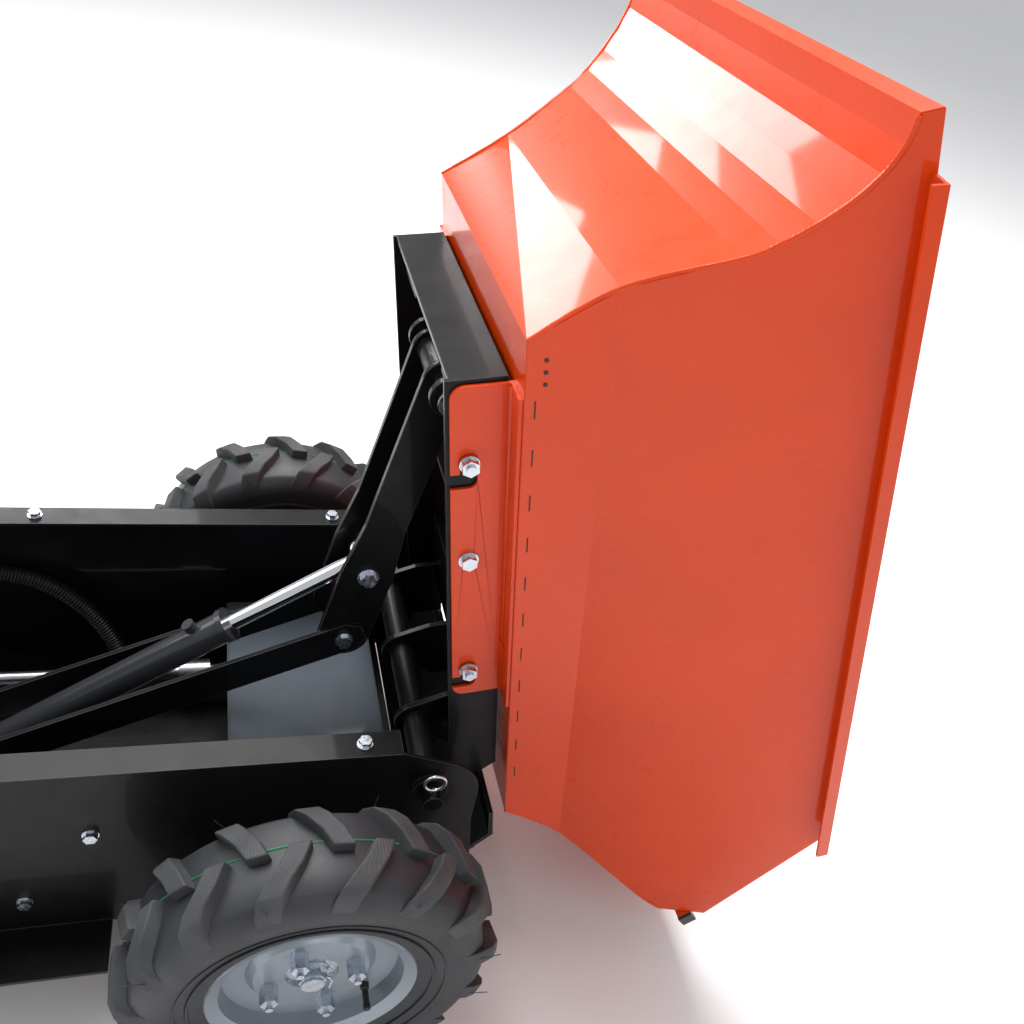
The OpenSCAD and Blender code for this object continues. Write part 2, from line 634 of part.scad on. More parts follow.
// The half axle, its hub flange, the wheel studs with their nuts, and the castle nut.
module wheel_hub(side) {
    h = tyre_w/2;
    face = wheel_y + h - 34;
    color([0.5, 0.5, 0.52]) {
        rod_y(axle_r, side*150, side*(face + 18), 0, axle_z);
        rod_y(58, side*(face - 6), side*face, 0, axle_z);
        rod_y(hub_hole - 3, side*(half + 19), side*(face - 6), 0, axle_z);
    }
    color([0.7, 0.71, 0.73]) {
        for (k = [0:3]) let (a = 20 + 90*k) {
            rod_y(4, side*(face + 4), side*(face + 30), stud_circle*cos(a), axle_z + stud_circle*sin(a));
            translate([stud_circle*cos(a), side*(face + 4), axle_z + stud_circle*sin(a)])
                rotate([-90*side, 0, 0]) cylinder(d = 17/cos(30), h = 20, $fn = 6);
        }
        translate([0, side*face, axle_z]) rotate([-90*side, 0, 0]) cylinder(r = 20, h = 3, $fn = 40);
        translate([0, side*(face + 3), axle_z]) rotate([-90*side, 0, 0])
            cylinder(d = 27/cos(30), h = 11, $fn = 6);
    }
}

// ---------- tub, in its own frame: X along the floor to the front, Z up from the floor ----------
module on_tub() {
    translate([pivot_x, 0, pivot_z]) rotate([0, tilt, 0]) translate([-tub_back, 0, tub_up]) children();
}
fold = 77;               // height of the fold where the sides start to flare
top_z = 360;             // height of the rim's front corner
rear_path = concat([[0, 0], [-41, fold], [-79, 160]], [for (k = [1:6]) [-79, 160] + [-118*pow(k/6, 1.15),
    88*sin(90*k/6)]], [[-202, 261]]);
front_path = [[floor_len, 0], [floor_len + 72, fold], [floor_len + 179, 182], [floor_len + 202, 215],
    [floor_len + 188, 265]];
rim_rear = [-158, 268];
rim_front = [632, top_z];
function half_at(z) = floor_half + flare*max(0, z - fold);
slant = atan(flare);
fold_lap = tub_t*sin(slant) + 0.4;   // the straight strip runs this far up into the flared sheet
wall_in = tub_t/3;       // every sheet ends this far inside the sheet it is welded to
fold_drop = 3;           // the flared sheet runs this far below the fold
rear_in = shifted(rear_path, -wall_in);
front_in = shifted(front_path, wall_in);
// One flared side, drawn in the plane that starts at the fold and leans out.
function leaned(p) = [p[0], (p[1] - fold)/cos(slant)];
module side_wall(side) {
    strip_top = fold + fold_lap;
    // straight lower strip
    plate_y(side*(floor_half - tub_t/2), tub_t) polygon([rear_in[0], rear_in[1] + [1, 0],
        [rear_in[1][0] + 1, strip_top], [front_in[1][0] - 1, strip_top], front_in[1] - [1, 0], front_in[0]]);
    upper = concat([for (i = [1:len(rear_in) - 1]) leaned(rear_in[i])],
        [leaned(rim_rear), leaned([-118, 274]), leaned(rim_front)],
        [for (i = [4:-1:1]) leaned(front_in[i])],
        [[front_in[1][0] - fold_drop - 1, -fold_drop], [rear_in[1][0] + fold_drop + 1, -fold_drop]]);
    translate([0, side*floor_half, fold]) rotate([-side*slant, 0, 0])
        rotate([90, 0, 0]) translate([0, 0, side > 0 ? 0 : -tub_t]) linear_extrude(tub_t) polygon(upper);
}
// A wall that spans the width, as a folded band cut to the width at each height.
module cross_wall(path, t) {
    intersection() {
        plate_y(0, 3*floor_half) polygon(concat(path, reversed(shifted(path, t))));
        translate([-400, 0, 0]) rotate([90, 0, 90]) linear_extrude(1600)
            polygon([[wall_in - floor_half, -9], [floor_half - wall_in, -9], [floor_half - wall_in, fold],
                [half_at(400) - wall_in, 400], [wall_in - half_at(400), 400], [wall_in - floor_half, fold]]);
    }
}
rim_root = 2.2;          // the rim strip starts this far inside the wall
// The folded rim along the top of a side: a flat strip with a turned-down edge.
module side_rim(side) {
    r0 = [rim_rear[0], side*half_at(rim_rear[1]), rim_rear[1]];
    r1 = [rim_front[0], side*half_at(rim_front[1]), rim_front[1]];
    root = [0, side*rim_root, 0];
    function strip(p) = [p - root, p + [0, side*rim_w, -4], p + [0, side*rim_w, -4 - tub_t],
        p - root - [0, 0, tub_t]];
    function turn(p) = [p + [0, side*rim_w, -4], p + [0, side*rim_w, -18],
        p + [0, side*(rim_w - tub_t), -18], p + [0, side*(rim_w - tub_t), -4]];
    if (side > 0) {
        four_sided(strip(r0), strip(r1));
        four_sided(turn(r0), turn(r1));
    } else {
        four_sided(reversed(strip(r0)), reversed(strip(r1)));
        four_sided(reversed(turn(r0)), reversed(turn(r1)));
    }
}
module tub() {
    color([0.85, 0.22, 0.05]) on_tub() {
        translate([0, wall_in - floor_half, 0]) cube([floor_len, 2*(floor_half - wall_in), tub_t]);
        for (side = [-1, 1]) {
            side_wall(side);
            side_rim(side);
        }
        cross_wall(rear_path, -tub_t);
        cross_wall(front_path, tub_t);
    }
}
lip_at = [floor_len + 204.6, 232];
lip_half = half_at(lip_at[1]) + 8;
module lip_tube() {
    color([0.85, 0.22, 0.05]) on_tub() translate([lip_at[0] - 2, -lip_half, lip_at[1]]) rotate([0, -30, 0])
        difference() {
            cube([20, 2*lip_half, 20]);
            translate([2, -1, 2]) cube([16, 2*lip_half + 2, 16]);
        }
}
module lip_tube_caps() {
    color([0.05, 0.05, 0.05]) on_tub() for (side = [-1, 1]) translate([lip_at[0] - 2, 0, lip_at[1]])
        rotate([0, -30, 0]) {
            translate([0, side > 0 ? lip_half : -lip_half - 4, 0]) cube([20, 4, 20]);
            translate([2.1, side > 0 ? lip_half - 12 : -lip_half, 2.1]) cube([15.8, 12, 15.8]);
        }
}

// ---------- quick mount and tilt frame, in the tub's frame ----------
mount_y = 168;           // outer face of a mount plate
mount_t = 4;
mount_u0 = 59;
mount_u1 = 470;
mount_low = -60;
hook_u = [142, 427];
hook_v = -42;
lock_u = 264;
module mount_plate(side) {
    color([0.85, 0.22, 0.05]) on_tub() {
        difference() {
            plate_y(side*(mount_y - mount_t/2), mount_t) polygon(concat(
                arc([mount_u0 + 14, mount_low + 14], 14, 180, 270, 6),
                arc([mount_u1 - 14, mount_low + 14], 14, 270, 360, 6), [[mount_u1, 0], [mount_u0, 0]]));
            for (u = hook_u) plate_y(side*(mount_y - mount_t/2), mount_t + 4) {
                translate([u, hook_v]) circle(r = 8.5, $fn = 40);
                translate([u, hook_v - 8.5]) square([22, 17]);
                translate([u + 22, hook_v]) circle(r = 8.5, $fn = 40);
                translate([u + 13.5, mount_low - 1]) square([17, hook_v - mount_low + 1]);
            }
            rod_y(5.5, side*(mount_y - 6), side*(mount_y + 2), lock_u, hook_v);
        }
        translate([mount_u0, side > 0 ? mount_y - mount_t : -floor_half + 3, -mount_t])
            cube([mount_u1 - mount_u0, floor_half - mount_y + mount_t - 3, mount_t]);
    }
}
frame_y = mount_y - mount_t;
module mount_bolts() {
    color([0.72, 0.73, 0.75]) on_tub() for (side = [-1, 1]) {
        for (u = hook_u) translate([u, 0, hook_v]) {
            rod_y(8, side*frame_y, side*(mount_y + 2));
            rod_y(5, side*(mount_y + 2), side*(mount_y + 15));
            translate([0, side*(mount_y + 2), 0]) rotate([-90*side, 0, 0]) cylinder(r = 10, h = 2, $fn = 40);
            translate([0, side*(mount_y + 4), 0]) rotate([-90*side, 0, 0])
                cylinder(d = 16/cos(30), h = 8, $fn = 6);
        }
        translate([lock_u, side*mount_y, hook_v]) rotate([-90*side, 0, 0]) bolt_head(15, 7, 10.5);
        rod_y(5.4, side*frame_y, side*mount_y, lock_u, hook_v);
    }
}
frame_t = 5;
frame_u0 = 54;           // rear edge of the side plates
frame_u1 = 626;          // front tip
frame_low = -64;
ear_y = 66;
web_y = [-120, 0, 120];
pivot_u = tub_back;
pivot_v = -tub_up;
shaft_u = 132;
shaft_v = -41;
spacer_r = 17;
module tilt_frame() {
    color([0.05, 0.05, 0.06]) on_tub() {
        for (side = [-1, 1]) plate_y(side*(frame_y - frame_t/2), frame_t)
            polygon([[frame_u0, frame_low], [frame_u0, -5], [frame_u1 - 12, -5], [frame_u1, -22],
                [frame_u1, -40], [frame_u1 - 22, frame_low]]);
        // rear, middle and front cross plates
        translate([frame_u0, -frame_y + frame_t, frame_low + 4])
            cube([frame_t, 2*(frame_y - frame_t), -frame_low - 9]);
        translate([300, -frame_y + frame_t, -34]) cube([frame_t, 2*(frame_y - frame_t), 29]);
        translate([470, -frame_y + frame_t, -24]) cube([130, 2*(frame_y - frame_t), 8]);
        translate([88, -150, -52]) cube([frame_t, 70, 47]);
        translate([88, 80, -52]) cube([frame_t, 70, 47]);
        // webs down to the pivot shaft
        for (y = web_y) difference() {
            plate_y(y, 7) polygon(concat([[522, -24], [522, -60]],
                arc([pivot_u, pivot_v], 27, 200, 380, 12), [[612, -60], [612, -24]]));
            rod_y(pivot_r + run, y - 5, y + 5, pivot_u, pivot_v);
        }
        // ears that carry the lever's top shaft
        for (side = [-1, 1]) difference() {
            plate_y(side*ear_y, 8) polygon(concat([[shaft_u - 34, -9], [shaft_u - 34, -30]],
                arc([shaft_u, shaft_v], 22, 190, 350, 10), [[shaft_u + 34, -30], [shaft_u + 34, -9]]));
            rod_y(lever_shaft_r + run, side*(ear_y - 5), side*(ear_y + 5), shaft_u, shaft_v);
        }
        translate([frame_u0, -frame_y + frame_t, -9]) cube([196 - frame_u0, 2*(frame_y - frame_t), 4]);
    }
}
module spacer_tubes() {
    ends = [-inner + 1, web_y[0], web_y[1], web_y[2], inner - 1];
    color([0.06, 0.06, 0.07]) on_tub() for (k = [0:3]) difference() {
        rod_y(spacer_r, ends[k] + (k == 0 ? 0 : 3.5), ends[k + 1] - (k == 3 ? 0 : 3.5), pivot_u, pivot_v);
        rod_y(pivot_r + run, ends[k] - 1, ends[k + 1] + 1, pivot_u, pivot_v);
    }
}

// ---------- tilt lever, lift arms and hydraulic cylinder ----------
// A point (u, v) of the tub's frame in the machine's X-Z plane, in the dumped pose.
function from_tub(u, v) = [pivot_x + (u - tub_back)*cos(tilt) + (v + tub_up)*sin(tilt),
    pivot_z - (u - tub_back)*sin(tilt) + (v + tub_up)*cos(tilt)];
lever_top = from_tub(shaft_u, shaft_v);
lever_low = [50, 388];
rod_pin = [71, 484];
pin_r = 8;
lever_shaft_r = 11;
module tilt_lever() {
    color([0.05, 0.05, 0.06]) {
        for (side = [-1, 1]) difference() {
            plate_y(side*lever_y, lever_t) {
                axis = unit(lever_low - lever_top);
                s = left_of(axis);
                translate(lever_top) circle(r = 24, $fn = 48);
                polygon([lever_top + s*24, lever_top - s*24, lever_top + axis*200 - s*24, rod_pin - s*33,
                    lever_low - s*32, lever_low + s*32, rod_pin + s*31, lever_top + axis*200 + s*24]);
                translate(lever_low) circle(r = 32, $fn = 48);
            }
            rod_y(lever_shaft_r + run, side*(lever_y - 6), side*(lever_y + 6), lever_top[0], lever_top[1]);
            rod_y(pin_r, side*(lever_y - 6), side*(lever_y + 6), rod_pin[0], rod_pin[1]);
            rod_y(pin_r, side*(lever_y - 6), side*(lever_y + 6), lever_low[0], lever_low[1]);
        }
        // tube that ties the two plates together
        difference() {
            rod_y(17, -lever_y + lever_t/2, lever_y - lever_t/2, lever_top[0], lever_top[1]);
            rod_y(lever_shaft_r + run, -lever_y, lever_y, lever_top[0], lever_top[1]);
        }
    }
}
arm_y = lever_y + lever_t/2 + gap + arm_t/2;
module lever_pins() {
    color([0.10, 0.10, 0.11]) {
        rod_y(lever_shaft_r, -78, 78, lever_top[0], lever_top[1]);
        for (s = [-1, 1]) rod_y(lever_shaft_r + 4, s*78, s*82, lever_top[0], lever_top[1]);
    }
    color([0.7, 0.71, 0.73]) {
        rod_y(pin_r, -lever_y - lever_t/2, lever_y + lever_t/2, rod_pin[0], rod_pin[1]);
        for (s = [-1, 1]) translate([rod_pin[0], s*(lever_y + lever_t/2), rod_pin[1]])
            rotate([-90*s, 0, 0]) bolt_head(17, 8, 13);
        rod_y(pin_r, -arm_y - arm_t/2 - gap, arm_y + arm_t/2 + gap, lever_low[0], lever_low[1]);
        for (s = [-1, 1]) translate([lever_low[0], s*(arm_y + arm_t/2 + gap), lever_low[1]])
            rotate([-90*s, 0, 0]) bolt_head(15, 7, 11);
    }
}
module lift_arms() {
    axis = unit(lever_low - arm_pin);
    s = left_of(axis);
    h = arm_h/2;
    color([0.05, 0.05, 0.06]) {
        for (side = [-1, 1]) difference() {
            plate_y(side*arm_y, arm_t) {
                polygon([arm_pin + s*h, lever_low + s*h + axis*10, lever_low + s*(h - 12) + axis*26,
                    lever_low - s*(h - 12) + axis*26, lever_low - s*h + axis*10, arm_pin - s*h]);
                translate(arm_pin) circle(r = h, $fn = 48);
            }
            rod_y(pin_r + run, side*(arm_y - 5), side*(arm_y + 5), lever_low[0], lever_low[1]);
        }
        for (side = [-1, 1])
            rod_y(9, side*(arm_y - arm_t/2 - 2), side*(arm_y + arm_t/2 + 5), arm_pin[0], arm_pin[1]);
    }
}
cyl_len = norm(rod_pin - barrel_pin);
cyl_up = atan2(rod_pin[1] - barrel_pin[1], rod_pin[0] - barrel_pin[0]);
barrel_end = cyl_len - 190;
// Children are drawn along +X from the barrel's base pin to the rod pin.
module along_cylinder() { translate([barrel_pin[0], 0, barrel_pin[1]]) rotate([0, -cyl_up, 0]) children(); }
module cylinder_rod() {
    color([0.85, 0.86, 0.88]) along_cylinder() {
        rod_x(rod_r, barrel_end - 60, cyl_len - 14);
        rod_x(barrel_r - 4.1, barrel_end - 88, barrel_end - 60);
        difference() {
            rod_y(18, -13, 13, cyl_len, 0);
            rod_y(pin_r + run, -14, 14, cyl_len, 0);
        }
    }
}
module cylinder_barrel() {
    color([0.05, 0.05, 0.06]) along_cylinder() {
        difference() {
            union() {
                rod_x(barrel_r, 14, barrel_end - 8);
                rod_x(barrel_r + 2.5, barrel_end - 8, barrel_end);
                rod_y(18, -14, 14, 0, 0);
                rod_y(9, -24, 24, 0, 0);
                translate([46, 0, 0]) rod_z(8, 0, 32);
                translate([barrel_end - 40, 0, 0]) rod_z(8, 0, 30);
            }
            rod_x(barrel_r - 4, 40, barrel_end - 20);
            rod_x(rod_r + run, barrel_end - 21, barrel_end + 1);
        }
    }
}

side_panel(1);  // side_panel_left
side_panel(-1);  // side_panel_right
cross_plates();
engine_deck();
link_bracket();
chassis_bolts();
gear_case();
transmission();
prop_shaft();
pivot_shaft();
lynch_pins();
engine_block();
cylinder_head();
fan_housing();
fuel_tank();
muffler();
air_cleaner();
belt_guard();
drive_belt();
hydraulic_pump();
suction_hose();
cable_conduit();
handlebar(1);  // handlebar_left
handlebar(-1);  // handlebar_right
bar_bridge();
hand_grips();
valve_block();
caster_plates();
engine_pulley();
gearbox_pulley();
recoil_handle();
fuel_cap();
drive_lever();
brake_lever();
throttle_lever();
gear_lever();
dump_lever();
tub();
lip_tube();
lip_tube_caps();
mount_plate(1);  // mount_plate_left
mount_plate(-1);  // mount_plate_right
mount_bolts();
tilt_frame();
spacer_tubes();
tilt_lever();
lever_pins();
lift_arms();
cylinder_rod();
cylinder_barrel();
front_tyre(1);  // front_tyre_left
front_tyre(-1);  // front_tyre_right
front_rim(1);  // front_rim_left
front_rim(-1);  // front_rim_right
wheel_hub(1);  // wheel_hub_left
wheel_hub(-1);  // wheel_hub_right
caster_fork(1);  // caster_fork_left
caster_fork(-1);  // caster_fork_right
caster_wheel(1);  // caster_wheel_left
caster_wheel(-1);  // caster_wheel_right
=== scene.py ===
import json
import math

import bmesh
import bpy
from mathutils import Matrix, Vector

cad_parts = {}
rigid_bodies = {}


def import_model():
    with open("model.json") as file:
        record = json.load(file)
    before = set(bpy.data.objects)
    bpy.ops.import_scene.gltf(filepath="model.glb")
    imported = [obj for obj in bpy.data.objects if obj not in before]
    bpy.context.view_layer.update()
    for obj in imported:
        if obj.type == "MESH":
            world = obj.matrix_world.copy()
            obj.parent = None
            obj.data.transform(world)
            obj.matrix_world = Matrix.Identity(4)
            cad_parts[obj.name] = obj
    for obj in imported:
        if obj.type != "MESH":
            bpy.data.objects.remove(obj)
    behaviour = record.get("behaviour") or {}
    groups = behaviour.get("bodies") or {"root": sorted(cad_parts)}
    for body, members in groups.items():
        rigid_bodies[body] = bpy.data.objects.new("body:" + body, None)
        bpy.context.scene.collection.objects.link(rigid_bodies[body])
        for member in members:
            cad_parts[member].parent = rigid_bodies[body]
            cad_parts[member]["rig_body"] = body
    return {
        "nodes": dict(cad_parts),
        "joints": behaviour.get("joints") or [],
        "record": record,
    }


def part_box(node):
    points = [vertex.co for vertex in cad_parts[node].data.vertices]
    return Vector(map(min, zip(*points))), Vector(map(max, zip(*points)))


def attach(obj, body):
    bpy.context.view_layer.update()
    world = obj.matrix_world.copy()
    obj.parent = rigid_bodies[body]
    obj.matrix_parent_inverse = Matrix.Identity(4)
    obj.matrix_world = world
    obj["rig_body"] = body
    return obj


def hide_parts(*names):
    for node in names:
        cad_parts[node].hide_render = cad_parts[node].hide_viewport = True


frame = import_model()
nodes = frame["nodes"]
node_body = {n: o["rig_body"] for n, o in nodes.items()}
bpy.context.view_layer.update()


# ---------- materials ----------
COAT_ROUGH = 0.05
PAINT_IOR = 1.5
UNDER_COAT_SHEEN = 0.15
EDGE_RADIUS = 0.0013  # how wide a worn cut edge shows


class Look:
    """A node material built round one Principled shader.

    A coated look keeps only a weak sheen under its coat, so that it isn't lit twice by the same reflection.
    """

    def __init__(self, name, metallic=0.0, coat=0.0):
        self.material = bpy.data.materials.new(name)
        self.material.use_nodes = True
        self.tree = self.material.node_tree
        self.shader = self.tree.nodes["Principled BSDF"]
        self.shader.inputs["Metallic"].default_value = metallic
        self.shader.inputs["Coat Weight"].default_value = coat
        self.shader.inputs["Coat Roughness"].default_value = COAT_ROUGH
        self.shader.inputs["IOR"].default_value = PAINT_IOR
        if coat:
            self.shader.inputs["Specular IOR Level"].default_value = UNDER_COAT_SHEEN
        self.place = self.tree.nodes.new("ShaderNodeTexCoord").outputs["Object"]

    def noise(self, scale, detail=4.0, rough=0.55, stretch=None):
        """Cloudy noise in the object's own coordinates, drawn out along an axis by stretch."""
        node = self.tree.nodes.new("ShaderNodeTexNoise")
        node.inputs["Scale"].default_value = scale
        node.inputs["Detail"].default_value = detail
        node.inputs["Roughness"].default_value = rough
        self.tree.links.new(self.placed(stretch), node.inputs["Vector"])
        return node.outputs["Fac"]

    def placed(self, stretch):
        """The object's coordinates, scaled by stretch where one is given."""
        if stretch is None:
            return self.place
        mapping = self.tree.nodes.new("ShaderNodeMapping")
        mapping.inputs["Scale"].default_value = stretch
        self.tree.links.new(self.place, mapping.inputs["Vector"])
        return mapping.outputs["Vector"]

    def wave(self, scale, axis):
        """Parallel bands across an axis."""
        node = self.tree.nodes.new("ShaderNodeTexWave")
        node.bands_direction = axis
        node.inputs["Scale"].default_value = scale
        self.tree.links.new(self.place, node.inputs["Vector"])
        return node.outputs["Fac"]

    def edges(self):
        """White close to an edge, where the rounded normal leaves the face's own."""
        rounded = self.tree.nodes.new("ShaderNodeBevel")
        rounded.samples = 4
        rounded.inputs["Radius"].default_value = EDGE_RADIUS
        face = self.tree.nodes.new("ShaderNodeNewGeometry").outputs["Normal"]
        match = self.tree.nodes.new("ShaderNodeVectorMath")
        match.operation = "DOT_PRODUCT"
        self.tree.links.new(rounded.outputs["Normal"], match.inputs[0])
        self.tree.links.new(face, match.inputs[1])
        ramp = self.tree.nodes.new("ShaderNodeValToRGB")
        flat_end = ramp.color_ramp.elements[1]
        ramp.color_ramp.elements[0].position = 0.86
        ramp.color_ramp.elements[0].color = (1, 1, 1, 1)
        flat_end.position = 0.985
        flat_end.color = (0, 0, 0, 1)
        self.tree.links.new(match.outputs["Value"], ramp.inputs["Fac"])
        return ramp.outputs["Color"]

    def ramp(self, source, stops, target):
        """Drives one of the shader's inputs from source, through stops of (position, value or colour)."""
        node = self.tree.nodes.new("ShaderNodeValToRGB")
        elements = node.color_ramp.elements
        while len(elements) < len(stops):
            elements.new(0.5)
        for element, (position, value) in zip(elements, stops):
            element.position = position
            element.color = (*value, 1) if hasattr(value, "__len__") else (value, value, value, 1)
        self.tree.links.new(source, node.inputs["Fac"])
        self.tree.links.new(node.outputs["Color"], self.shader.inputs[target])
        return node.outputs["Color"]

    def mix_colour(self, base, over, amount):
        """Lays a plain colour over base, by amount."""
        node = self.tree.nodes.new("ShaderNodeMix")
        node.data_type = "RGBA"
        factor, first, second = (socket for socket in node.inputs if socket.enabled)
        self.tree.links.new(amount, factor)
        self.tree.links.new(base, first)
        second.default_value = (*over, 1)
        mixed = next(socket for socket in node.outputs if socket.enabled)
        self.tree.links.new(mixed, self.shader.inputs["Base Color"])

    def bump(self, source, strength, distance):
        """Adds a relief on top of any that the shader already has."""
        node = self.tree.nodes.new("ShaderNodeBump")
        node.inputs["Strength"].default_value = strength
        node.inputs["Distance"].default_value = distance
        previous = self.shader.inputs["Normal"].links
        if previous:
            self.tree.links.new(previous[0].from_socket, node.inputs["Normal"])
        self.tree.links.new(source, node.inputs["Height"])
        self.tree.links.new(node.outputs["Normal"], self.shader.inputs["Normal"])


def shades(colour, spread):
    """The colour a little darker and a little lighter."""
    dark = tuple(c * (1 - spread) for c in colour)
    light = tuple(min(1, c * (1 + spread)) for c in colour)
    return dark, light


def coat_paint(name, colour, rough, spread=0.07, coat=0.0, peel=0.10, worn=None, metallic=0.0):
    """Powder coat: faint orange peel, slow colour drift, thin bright cut edges."""
    look = Look(name, metallic=metallic, coat=coat)
    dark, light = shades(colour, spread)
    base = look.ramp(look.noise(6.0), [(0.3, dark), (0.7, light)], "Base Color")
    if worn:
        look.mix_colour(base, worn, look.edges())
    look.ramp(look.noise(38.0), [(0.3, rough * 0.85), (0.7, rough * 1.2)], "Roughness")
    look.bump(look.noise(900.0, 2.0), peel, 0.0004)
    return look.material


def metal(name, colour, rough, stretch=None, spread=0.12, scale=60.0):
    """Bare or plated metal with brushed or cloudy finish."""
    look = Look(name, metallic=1.0)
    dark, light = shades(colour, spread)
    look.ramp(look.noise(scale, 5.0, 0.6, stretch), [(0.3, dark), (0.7, light)], "Base Color")
    look.ramp(look.noise(scale * 2, 4.0, 0.6, stretch), [(0.25, rough * 0.7), (0.75, rough * 1.35)],
              "Roughness")
    look.bump(look.noise(scale * 5, 3.0, 0.6, stretch), 0.12, 0.0003)
    return look.material


def rubber(name, colour, rough, scale=220.0, strength=0.35, spread=0.25):
    """Moulded rubber: dusty patches and a fine grain."""
    look = Look(name)
    dark, light = shades(colour, spread)
    look.ramp(look.noise(14.0, 6.0), [(0.35, dark), (0.68, light)], "Base Color")
    look.ramp(look.noise(26.0), [(0.3, rough * 0.85), (0.75, min(1, rough * 1.15))], "Roughness")
    look.bump(look.noise(scale, 3.0), strength, 0.0006)
    return look.material


def cast(name, colour, rough, metallic, strength=0.5):
    """Sand or die casting with a coarse skin."""
    look = Look(name, metallic=metallic)
    dark, light = shades(colour, 0.18)
    look.ramp(look.noise(30.0, 6.0), [(0.3, dark), (0.7, light)], "Base Color")
    look.ramp(look.noise(50.0), [(0.3, rough * 0.85), (0.7, min(1, rough * 1.2))], "Roughness")
    look.bump(look.noise(420.0, 3.0), strength, 0.0006)
    return look.material


def knurled_lug():
    """Tread lug tops: rubber with a fine crossed moulding pattern."""
    look = Look("tread_lug")
    look.ramp(look.noise(16.0, 6.0), [(0.3, (0.026, 0.028, 0.031)), (0.7, (0.062, 0.065, 0.070))],
              "Base Color")
    look.ramp(look.noise(30.0), [(0.3, 0.55), (0.7, 0.75)], "Roughness")
    look.bump(look.wave(300.0, "X"), 0.35, 0.0005)
    look.bump(look.wave(300.0, "Z"), 0.35, 0.0005)
    return look.material


SLOT_LOOKS = {
    "tub_orange": coat_paint("orange_powder_coat", (0.70, 0.052, 0.002), rough=0.30, spread=0.05,
                             coat=0.5, peel=0.03),
    "frame_black": coat_paint("black_powder_coat", (0.0045, 0.0047, 0.0052), rough=0.36, spread=0.2,
                              coat=0.1, worn=(0.11, 0.115, 0.12)),
    "zinc": metal("bright_zinc", (0.62, 0.66, 0.72), rough=0.26, scale=90.0),
    "case_grey": coat_paint("case_paint", (0.062, 0.077, 0.094), rough=0.36, spread=0.08,
                            coat=0.2, peel=0.14),
    "shaft_steel": metal("turned_steel", (0.45, 0.46, 0.48), rough=0.3, stretch=(1, 30, 1)),
    "rod_chrome": metal("hard_chrome", (0.82, 0.84, 0.87), rough=0.09, spread=0.03, scale=20.0),
    "engine_cast": cast("engine_casting", (0.035, 0.036, 0.038), rough=0.5, metallic=0.3),
    "head_aluminium": cast("cast_aluminium", (0.50, 0.51, 0.53), rough=0.42, metallic=1.0),
    "engine_plastic": rubber("moulded_plastic", (0.018, 0.018, 0.020), rough=0.42, scale=500.0,
                             strength=0.18),
    "muffler_steel": metal("heated_steel", (0.27, 0.24, 0.21), rough=0.42, spread=0.3, scale=24.0),
    "belt_rubber": rubber("belt_rubber", (0.014, 0.014, 0.015), rough=0.7),
    "hose_rubber": rubber("hose_rubber", (0.012, 0.012, 0.013), rough=0.38, scale=300.0, strength=0.15),
    "grip_rubber": rubber("grip_rubber", (0.014, 0.014, 0.015), rough=0.66),
    "tyre_rubber": rubber("tyre_rubber", (0.020, 0.022, 0.026), rough=0.52, scale=180.0, strength=0.3),
    "rim_silver": coat_paint("silver_paint", (0.30, 0.335, 0.375), rough=0.33, spread=0.06, coat=0.2,
                             metallic=0.55),
    "cap_plastic": rubber("cap_plastic", (0.013, 0.013, 0.014), rough=0.48, scale=600.0, strength=0.15),
    "caster_zinc": metal("caster_zinc", (0.50, 0.52, 0.55), rough=0.32),
}
TREAD = knurled_lug()
DARK_BARREL = coat_paint("barrel_enamel", (0.030, 0.032, 0.036), rough=0.20, spread=0.1, coat=0.5, peel=0.03)
STRIPE_GREEN = rubber("green_stripe", (0.02, 0.16, 0.07), rough=0.6)
slot_of = {s["node"]: s["material_slot"] for s in frame["record"]["subparts"]}


def paint(obj, material):
    obj.data.materials.clear()
    obj.data.materials.append(material)


for name, obj in nodes.items():
    paint(obj, SLOT_LOOKS[slot_of[name]])
paint(nodes["cylinder_barrel"], DARK_BARREL)


# ---------- building helpers ----------
JOIN_GAP = 0.00002   # corners closer than this are one
SHARP_ANGLE = 30.0   # edges that turn more than this are rounded
CURVE_STEPS = 24     # fine steps between two points of a route
def piece(name, bm, material, body, smooth=40.0):
    """Turns a bmesh into a shown piece that rides on a body."""
    mesh = bpy.data.meshes.new(name)
    bmesh.ops.recalc_face_normals(bm, faces=bm.faces)
    bm.to_mesh(mesh)
    bm.free()
    obj = bpy.data.objects.new(name, mesh)
    bpy.context.scene.collection.objects.link(obj)
    mesh.materials.append(material)
    mesh.shade_smooth()
    mesh.set_sharp_from_angle(angle=math.radians(smooth))
    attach(obj, body)
    return obj


def bevel(obj, width, segments=2):
    """Rounds an object's sharp edges, as bent sheet and cut plate have. Faces that meet are joined first."""
    obj.modifiers.new("joined", "WELD").merge_threshold = JOIN_GAP
    mod = obj.modifiers.new("edge", "BEVEL")
    mod.width = width
    mod.segments = segments
    mod.limit_method = "ANGLE"
    mod.angle_limit = math.radians(SHARP_ANGLE)
    mod.harden_normals = True


